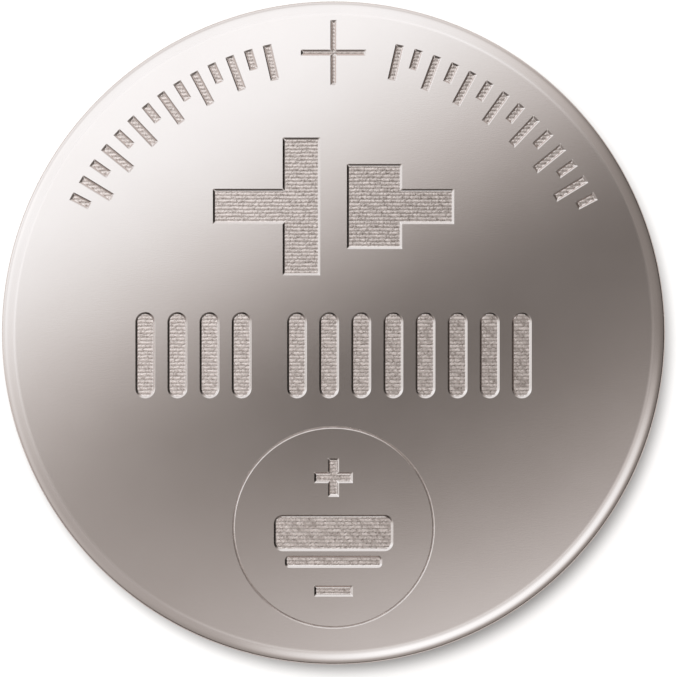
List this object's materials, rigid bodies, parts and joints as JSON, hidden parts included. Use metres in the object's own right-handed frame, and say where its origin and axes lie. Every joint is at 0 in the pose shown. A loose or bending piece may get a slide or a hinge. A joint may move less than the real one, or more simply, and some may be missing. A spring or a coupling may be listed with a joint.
{
  "type": "lithium coin cell",
  "caption": "Round sealed coin cell: crimped steel case with a marked positive face, stepped negative cap, insulating gasket, and the electrode stack held between them.",
  "frame": {"origin": "centre of the negative cap's contact face, on the surface that the cell lies on", "axes": "+Z out of the marked positive face, along the cell's axis; +Y towards the plus mark, which is the top of the face's marks; +X to the right as the positive face is read"},
  "size_m": [0.03, 0.03, 0.0032],
  "materials": {
    "case_steel": "satin nickel plating over steel",
    "cap_steel": "satin nickel plating over steel",
    "gasket_plastic": "natural polypropylene",
    "lithium": "dull rolled metal",
    "separator_felt": "non-woven felt",
    "cathode_powder": "pressed powder",
    "collector_steel": "expanded metal"
  },
  "bodies": {
    "root": {"positive_case": "case_steel", "negative_cap": "cap_steel", "gasket": "gasket_plastic", "lithium_anode": "lithium", "separator": "separator_felt", "cathode_pellet": "cathode_powder", "current_collector": "collector_steel"}
  },
  "joints": []
}
